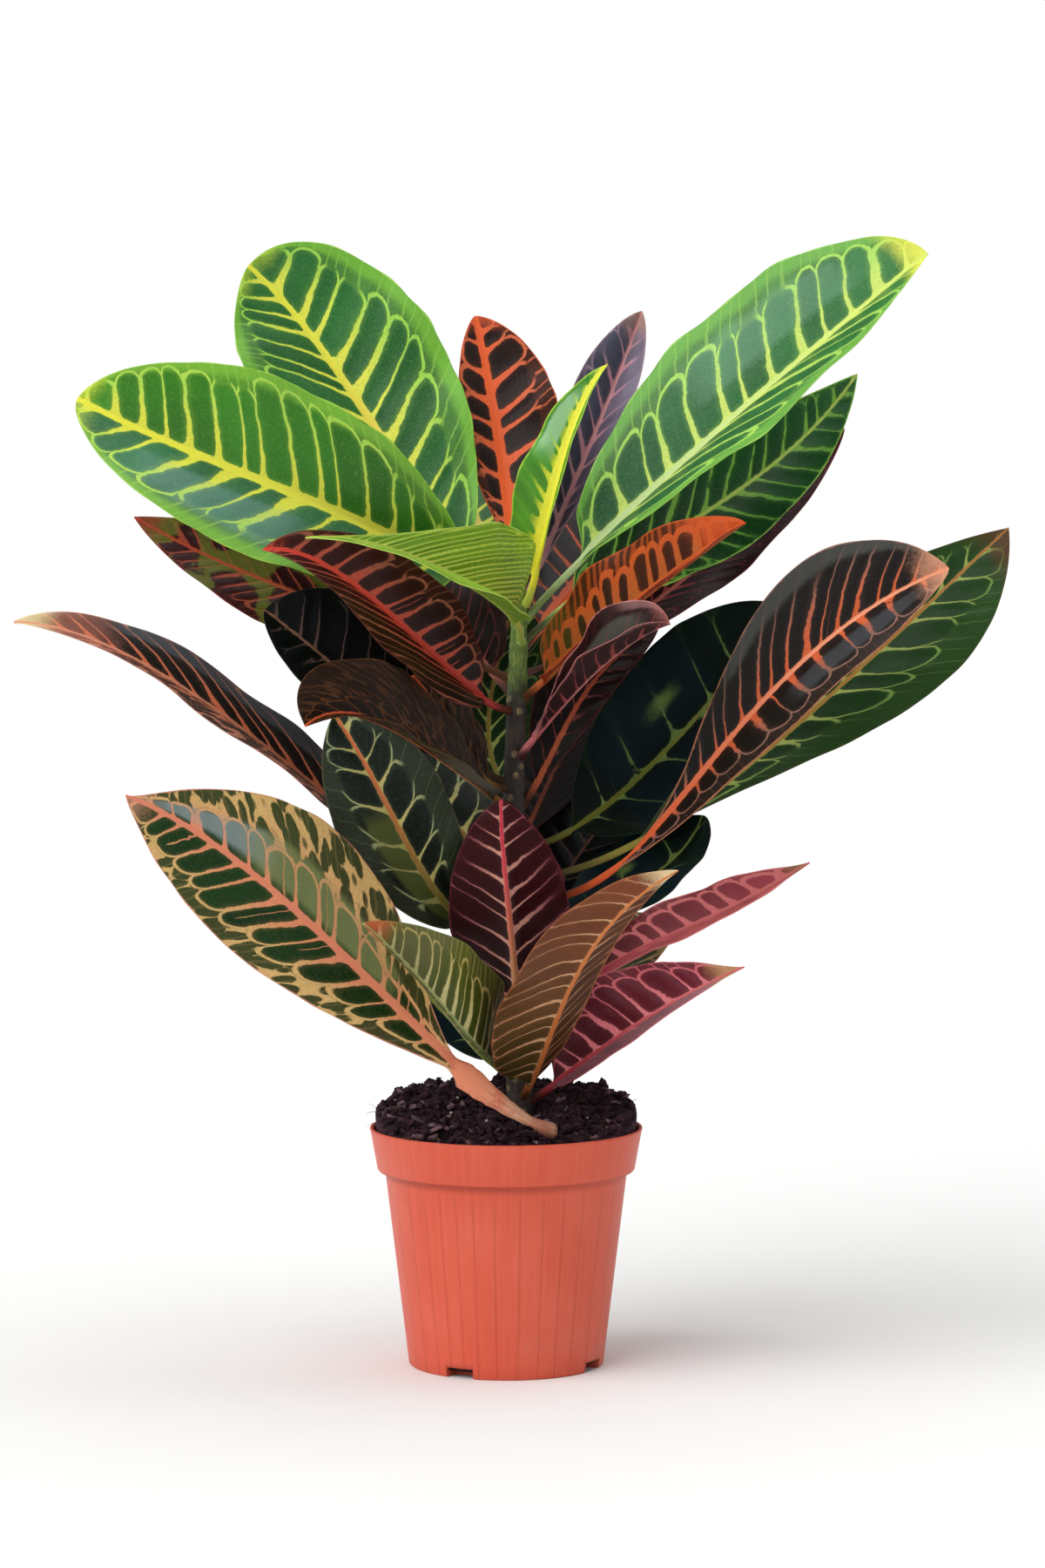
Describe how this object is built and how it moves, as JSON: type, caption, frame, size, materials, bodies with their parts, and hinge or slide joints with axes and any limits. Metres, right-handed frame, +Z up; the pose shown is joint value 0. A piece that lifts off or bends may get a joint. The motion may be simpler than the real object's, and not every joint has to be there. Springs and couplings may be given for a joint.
{
  "type": "potted croton",
  "caption": "Bushy croton plant with upright veined oval leaves on a short woody stem, growing from soil in a tapered plastic nursery pot with a rim band.",
  "frame": {"origin": "middle of the pot's flat underside, on the pot's axis", "axes": "+Z up along the pot's axis, which is the object's longest extent; the plant's fuller, pictured side faces -Y"},
  "size_m": [0.4298, 0.2674, 0.4951],
  "materials": {
    "leaf_green": "waxy gloss, green with yellow midrib and veins",
    "leaf_lime": "waxy gloss, lime green with pale veins",
    "leaf_dark_green": "waxy gloss, dark green with yellow-green veins",
    "leaf_black": "waxy gloss, near-black with orange midrib and veins",
    "leaf_red": "waxy gloss, dark red with bright red and pink veins",
    "leaf_plum": "waxy gloss, plum purple with pink midrib",
    "leaf_olive": "waxy gloss, olive green with cream and salmon vein net",
    "leaf_bronze": "satin bronze brown with pale straight veins",
    "stem_bark": "matt bark with leaf scars",
    "potting_soil": "matt, moist, crumbly",
    "terracotta_plastic": "satin moulded plastic"
  },
  "bodies": {
    "root": {"leaf_01": "leaf_green", "leaf_02": "leaf_green", "leaf_03": "leaf_black", "leaf_04": "leaf_lime", "leaf_05": "leaf_plum", "leaf_06": "leaf_green", "leaf_07": "leaf_green", "leaf_08": "leaf_red", "leaf_09": "leaf_black", "leaf_10": "leaf_lime", "leaf_11": "leaf_red", "leaf_12": "leaf_red", "leaf_13": "leaf_red", "leaf_14": "leaf_red", "leaf_15": "leaf_black", "leaf_16": "leaf_dark_green", "leaf_17": "leaf_dark_green", "leaf_18": "leaf_dark_green", "leaf_19": "leaf_plum", "leaf_20": "leaf_black", "leaf_21": "leaf_dark_green", "leaf_22": "leaf_black", "leaf_23": "leaf_dark_green", "leaf_24": "leaf_olive", "leaf_25": "leaf_olive", "leaf_26": "leaf_plum", "leaf_27": "leaf_bronze", "leaf_28": "leaf_red", "leaf_29": "leaf_red", "leaf_30": "leaf_green", "leaf_31": "leaf_black", "leaf_32": "leaf_red", "leaf_33": "leaf_dark_green", "leaf_34": "leaf_red", "leaf_35": "leaf_dark_green", "leaf_36": "leaf_black", "leaf_37": "leaf_red", "leaf_38": "leaf_dark_green", "stem": "stem_bark", "soil": "potting_soil", "pot": "terracotta_plastic"}
  },
  "joints": []
}
